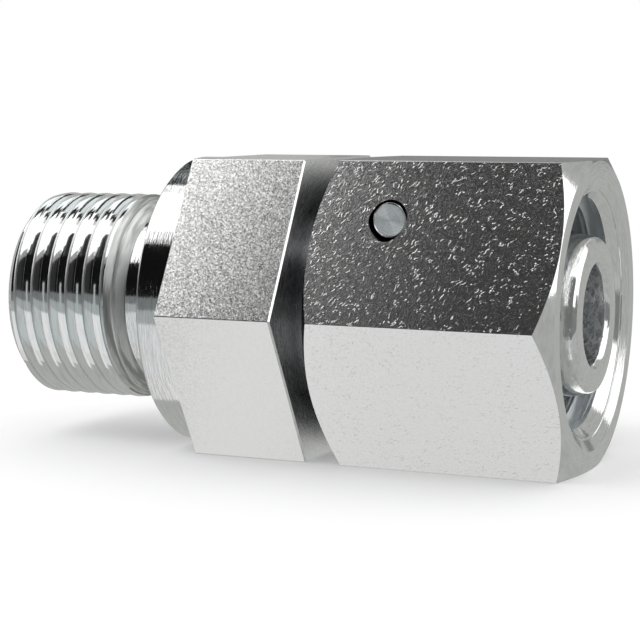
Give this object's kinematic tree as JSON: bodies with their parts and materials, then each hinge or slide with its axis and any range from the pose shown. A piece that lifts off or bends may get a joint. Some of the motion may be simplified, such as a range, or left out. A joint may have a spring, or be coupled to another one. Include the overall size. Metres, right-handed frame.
{
  "type": "male stud connector",
  "caption": "Straight male stud connector: a threaded stud and hexagon at one end, a swivel nut held by pins round a 24 degree sealing cone at the other.",
  "frame": {"origin": "on the axis, in the plane of the collar's sealing face", "axes": "+X along the axis from the stud towards the swivel nut, +Z square to the upper spanner flats"},
  "size_m": [0.0444, 0.0254, 0.022],
  "materials": {
    "body_steel": "bright zinc plate over turned and milled steel",
    "nut_steel": "bright zinc plate over drawn hexagon bar with turned ends",
    "pin_steel": "turned steel, satin",
    "seal_rubber": "matt black rubber"
  },
  "bodies": {
    "connector_body": {"stud_body": "body_steel", "cone_o_ring": "seal_rubber", "stud_seal_ring": "seal_rubber"},
    "nut_assembly": {"swivel_nut": "nut_steel", "retaining_pin_front": "pin_steel", "retaining_pin_rear": "pin_steel"}
  },
  "joints": [
    {"name": "nut_swivel", "type": "hinge", "parent": "connector_body", "child": "nut_assembly", "pos_m": [0.02, 0, 0], "axis": [1, 0, 0], "continuous": true}
  ]
}
